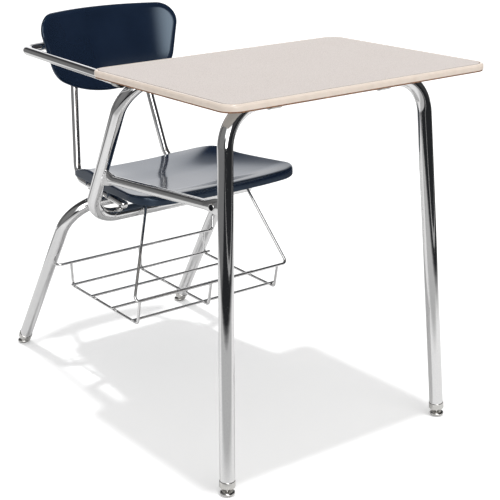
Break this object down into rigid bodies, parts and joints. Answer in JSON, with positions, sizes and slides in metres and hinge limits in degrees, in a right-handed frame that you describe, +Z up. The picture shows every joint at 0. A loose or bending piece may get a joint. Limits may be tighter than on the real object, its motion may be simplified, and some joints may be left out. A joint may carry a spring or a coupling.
{
  "type": "combo school desk",
  "caption": "Classroom chair and writing top joined on one chromed tube frame, with moulded seat and back and a wire book basket under the seat.",
  "frame": {"origin": "on the floor, in the middle of the footprint's width and depth", "axes": "+Z up, +Y to the rear behind the sitter, +X to the sitter's left; the arm support is on the -X side"},
  "size_m": [0.61, 1.0065, 0.799],
  "materials": {
    "top_sheet": "fine speckled laminate",
    "top_edge": "smooth moulded edge",
    "top_core": "pressed wood composite",
    "chrome_tube": "polished chrome plate",
    "chrome_wire": "polished chrome plate",
    "navy_shell": "semi-gloss moulded plastic",
    "zinc_steel": "zinc plate",
    "nickel_ferrule": "nickel plate",
    "nickel_base": "nickel plate",
    "nylon": "natural nylon"
  },
  "bodies": {
    "frame": {"desktop_sheet": "top_sheet", "desktop_edge_band": "top_edge", "desktop_core": "top_core", "desktop_screws": "zinc_steel", "front_leg_frame": "chrome_tube", "rear_leg_frame": "chrome_tube", "arm_support_tube": "chrome_tube", "side_stretcher": "chrome_tube", "back_rail": "chrome_tube", "upright_right": "chrome_tube", "upright_left": "chrome_tube", "seat_shell": "navy_shell", "seat_screws": "zinc_steel", "backrest_shell": "navy_shell", "back_screws": "zinc_steel", "basket_front_frame": "chrome_wire", "basket_rear_rail": "chrome_wire", "front_strap_right": "zinc_steel", "front_strap_left": "zinc_steel", "arm_strap_right": "zinc_steel", "arm_strap_left": "zinc_steel", "back_rail_clip": "zinc_steel", "basket_cross_wire_right": "chrome_wire", "basket_cross_wire_middle": "chrome_wire", "basket_cross_wire_left": "chrome_wire", "basket_long_wire_rear": "chrome_wire", "basket_long_wire_mid_rear": "chrome_wire", "basket_long_wire_mid_front": "chrome_wire", "basket_long_wire_front": "chrome_wire", "front_right_ferrule": "nickel_ferrule", "front_right_stud": "zinc_steel", "front_left_ferrule": "nickel_ferrule", "front_left_stud": "zinc_steel", "rear_right_ferrule": "nickel_ferrule", "rear_right_stud": "zinc_steel", "rear_left_ferrule": "nickel_ferrule", "rear_left_stud": "zinc_steel"},
    "front_right_glide_socket": {"front_right_socket": "nylon"},
    "front_right_glide_base": {"front_right_base": "nickel_base"},
    "front_left_glide_socket": {"front_left_socket": "nylon"},
    "front_left_glide_base": {"front_left_base": "nickel_base"},
    "rear_right_glide_socket": {"rear_right_socket": "nylon"},
    "rear_right_glide_base": {"rear_right_base": "nickel_base"},
    "rear_left_glide_socket": {"rear_left_socket": "nylon"},
    "rear_left_glide_base": {"rear_left_base": "nickel_base"}
  },
  "joints": [
    {"name": "front_right_glide_tilt", "type": "hinge", "parent": "frame", "child": "front_right_glide_socket", "pos_m": [-0.27163, -0.42543, 0.0072], "axis": [1, 0, 0], "range_deg": [-8, 8]},
    {"name": "front_right_glide_spin", "type": "hinge", "parent": "front_right_glide_socket", "child": "front_right_glide_base", "pos_m": [-0.27163, -0.42543, 0.0072], "axis": [0, 0, 1], "continuous": true},
    {"name": "front_left_glide_tilt", "type": "hinge", "parent": "frame", "child": "front_left_glide_socket", "pos_m": [0.27163, -0.42543, 0.0072], "axis": [1, 0, 0], "range_deg": [-8, 8]},
    {"name": "front_left_glide_spin", "type": "hinge", "parent": "front_left_glide_socket", "child": "front_left_glide_base", "pos_m": [0.27163, -0.42543, 0.0072], "axis": [0, 0, 1], "continuous": true},
    {"name": "rear_right_glide_tilt", "type": "hinge", "parent": "frame", "child": "rear_right_glide_socket", "pos_m": [-0.22859, 0.4885, 0.0072], "axis": [1, 0, 0], "range_deg": [-8, 8]},
    {"name": "rear_right_glide_spin", "type": "hinge", "parent": "rear_right_glide_socket", "child": "rear_right_glide_base", "pos_m": [-0.22859, 0.4885, 0.0072], "axis": [0, 0, 1], "continuous": true},
    {"name": "rear_left_glide_tilt", "type": "hinge", "parent": "frame", "child": "rear_left_glide_socket", "pos_m": [0.22859, 0.4885, 0.0072], "axis": [1, 0, 0], "range_deg": [-8, 8]},
    {"name": "rear_left_glide_spin", "type": "hinge", "parent": "rear_left_glide_socket", "child": "rear_left_glide_base", "pos_m": [0.22859, 0.4885, 0.0072], "axis": [0, 0, 1], "continuous": true}
  ]
}
